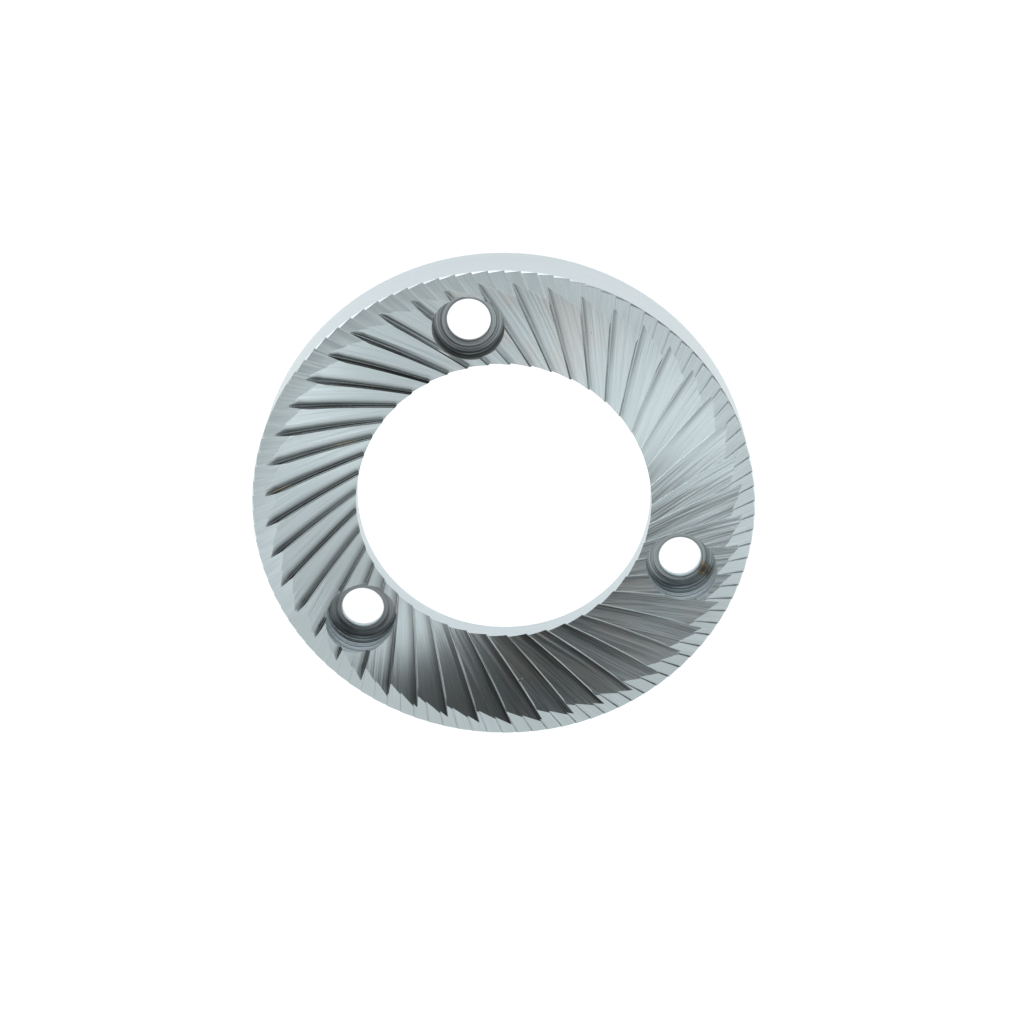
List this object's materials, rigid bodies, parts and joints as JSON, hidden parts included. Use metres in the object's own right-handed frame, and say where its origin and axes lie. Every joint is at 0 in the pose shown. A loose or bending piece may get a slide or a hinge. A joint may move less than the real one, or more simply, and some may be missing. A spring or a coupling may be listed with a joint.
{
  "type": "coffee grinder burr",
  "caption": "Flat steel burr ring with slanted sawtooth grooves, a finely stepped rim, a wide bore and screw holes, for grinding coffee beans.",
  "frame": {"origin": "on the ring's axis, in the plane of the back rim that the burr lies on", "axes": "+Z along the axis towards the teeth; a screw hole lies 10 degrees to the left of +Y"},
  "size_m": [0.064, 0.064, 0.0082],
  "materials": {
    "steel": "ground satin steel"
  },
  "bodies": {
    "root": {"burr": "steel"}
  },
  "joints": []
}
